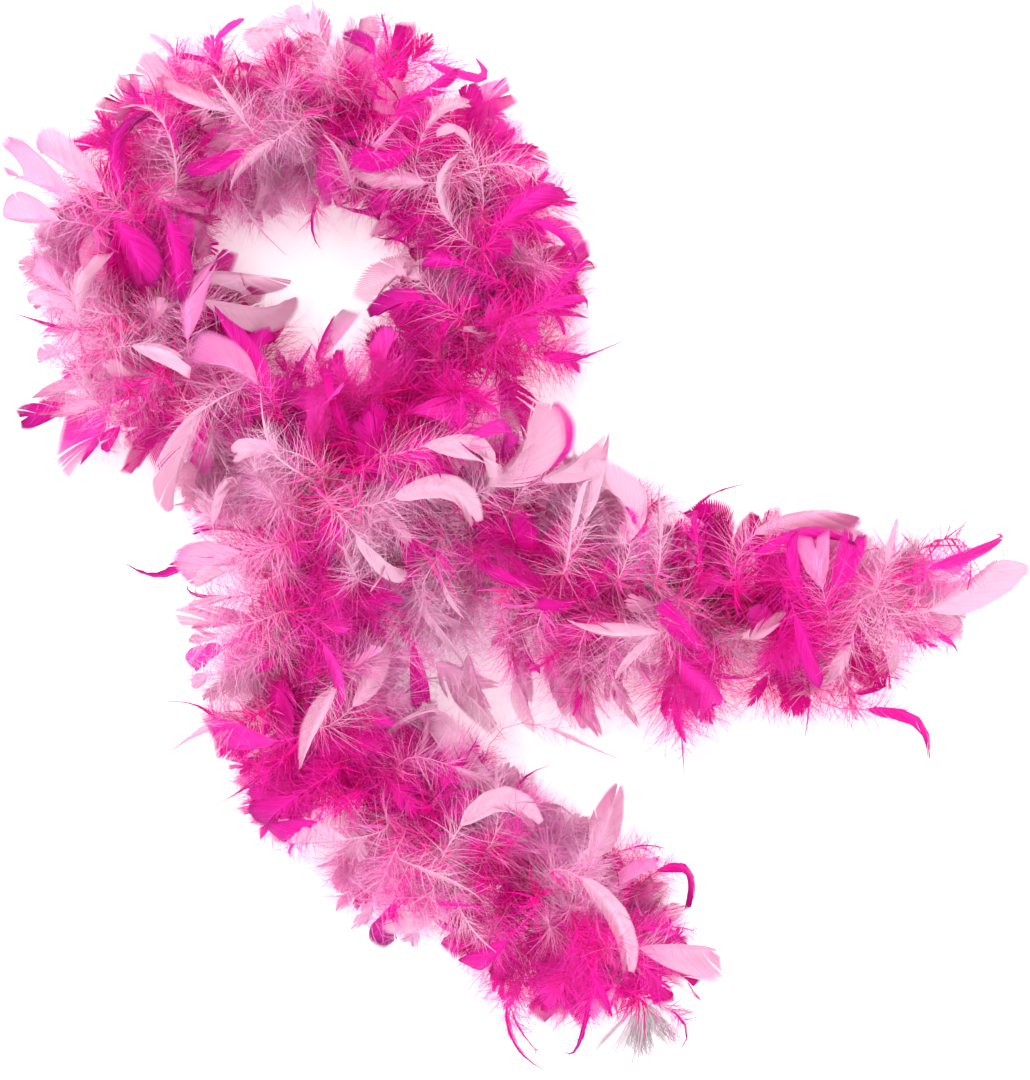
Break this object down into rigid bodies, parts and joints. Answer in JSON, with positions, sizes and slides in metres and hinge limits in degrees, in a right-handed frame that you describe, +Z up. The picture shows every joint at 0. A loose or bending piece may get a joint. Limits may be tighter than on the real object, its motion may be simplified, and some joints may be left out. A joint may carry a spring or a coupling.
{
  "type": "feather boa",
  "caption": "Fluffy two-tone pink costume scarf of dyed turkey feathers caught in a twisted yarn core, lying in an open loop with crossed tails, yarn ends frayed.",
  "frame": {"origin": "on the surface that the boa lies on, under the middle of its outline", "axes": "+Z up off the surface, +Y from the tails towards the loop, +X towards the tail that lies underneath at the crossing"},
  "size_m": [0.6869, 0.7689, 0.1587],
  "materials": {
    "hot_pink_feather": "dyed turkey feather, hot pink",
    "pale_pink_feather": "dyed turkey feather, pale pink",
    "cotton_yarn": "undyed twisted cotton yarn",
    "binding_thread": "white sewing thread"
  },
  "bodies": {
    "root": {"yarn_core": "cotton_yarn", "binding_thread": "binding_thread", "end_whipping_upper": "binding_thread", "end_whipping_lower": "binding_thread", "frayed_yarn_upper": "cotton_yarn", "frayed_yarn_lower": "cotton_yarn", "feathers_hot_pink_01": "hot_pink_feather", "feathers_pale_pink_01": "pale_pink_feather", "feathers_hot_pink_02": "hot_pink_feather", "feathers_pale_pink_02": "pale_pink_feather", "feathers_hot_pink_03": "hot_pink_feather", "feathers_pale_pink_03": "pale_pink_feather", "feathers_hot_pink_04": "hot_pink_feather", "feathers_pale_pink_04": "pale_pink_feather", "feathers_hot_pink_05": "hot_pink_feather", "feathers_pale_pink_05": "pale_pink_feather", "feathers_hot_pink_06": "hot_pink_feather", "feathers_pale_pink_06": "pale_pink_feather", "feathers_hot_pink_07": "hot_pink_feather", "feathers_pale_pink_07": "pale_pink_feather", "feathers_hot_pink_08": "hot_pink_feather", "feathers_pale_pink_08": "pale_pink_feather", "feathers_hot_pink_09": "hot_pink_feather", "feathers_pale_pink_09": "pale_pink_feather", "feathers_hot_pink_10": "hot_pink_feather", "feathers_pale_pink_10": "pale_pink_feather", "feathers_hot_pink_11": "hot_pink_feather", "feathers_pale_pink_11": "pale_pink_feather", "feathers_hot_pink_12": "hot_pink_feather", "feathers_pale_pink_12": "pale_pink_feather", "feathers_hot_pink_13": "hot_pink_feather", "feathers_pale_pink_13": "pale_pink_feather", "feathers_hot_pink_14": "hot_pink_feather", "feathers_pale_pink_14": "pale_pink_feather", "feathers_hot_pink_15": "hot_pink_feather", "feathers_pale_pink_15": "pale_pink_feather", "feathers_hot_pink_16": "hot_pink_feather", "feathers_pale_pink_16": "pale_pink_feather", "feathers_hot_pink_17": "hot_pink_feather", "feathers_pale_pink_17": "pale_pink_feather", "feathers_hot_pink_18": "hot_pink_feather", "feathers_pale_pink_18": "pale_pink_feather", "feathers_hot_pink_19": "hot_pink_feather", "feathers_pale_pink_19": "pale_pink_feather", "feathers_hot_pink_20": "hot_pink_feather", "feathers_pale_pink_20": "pale_pink_feather", "feathers_hot_pink_21": "hot_pink_feather", "feathers_pale_pink_21": "pale_pink_feather", "feathers_hot_pink_22": "hot_pink_feather", "feathers_pale_pink_22": "pale_pink_feather", "feathers_hot_pink_23": "hot_pink_feather", "feathers_pale_pink_23": "pale_pink_feather", "feathers_hot_pink_24": "hot_pink_feather", "feathers_pale_pink_24": "pale_pink_feather"}
  },
  "joints": []
}
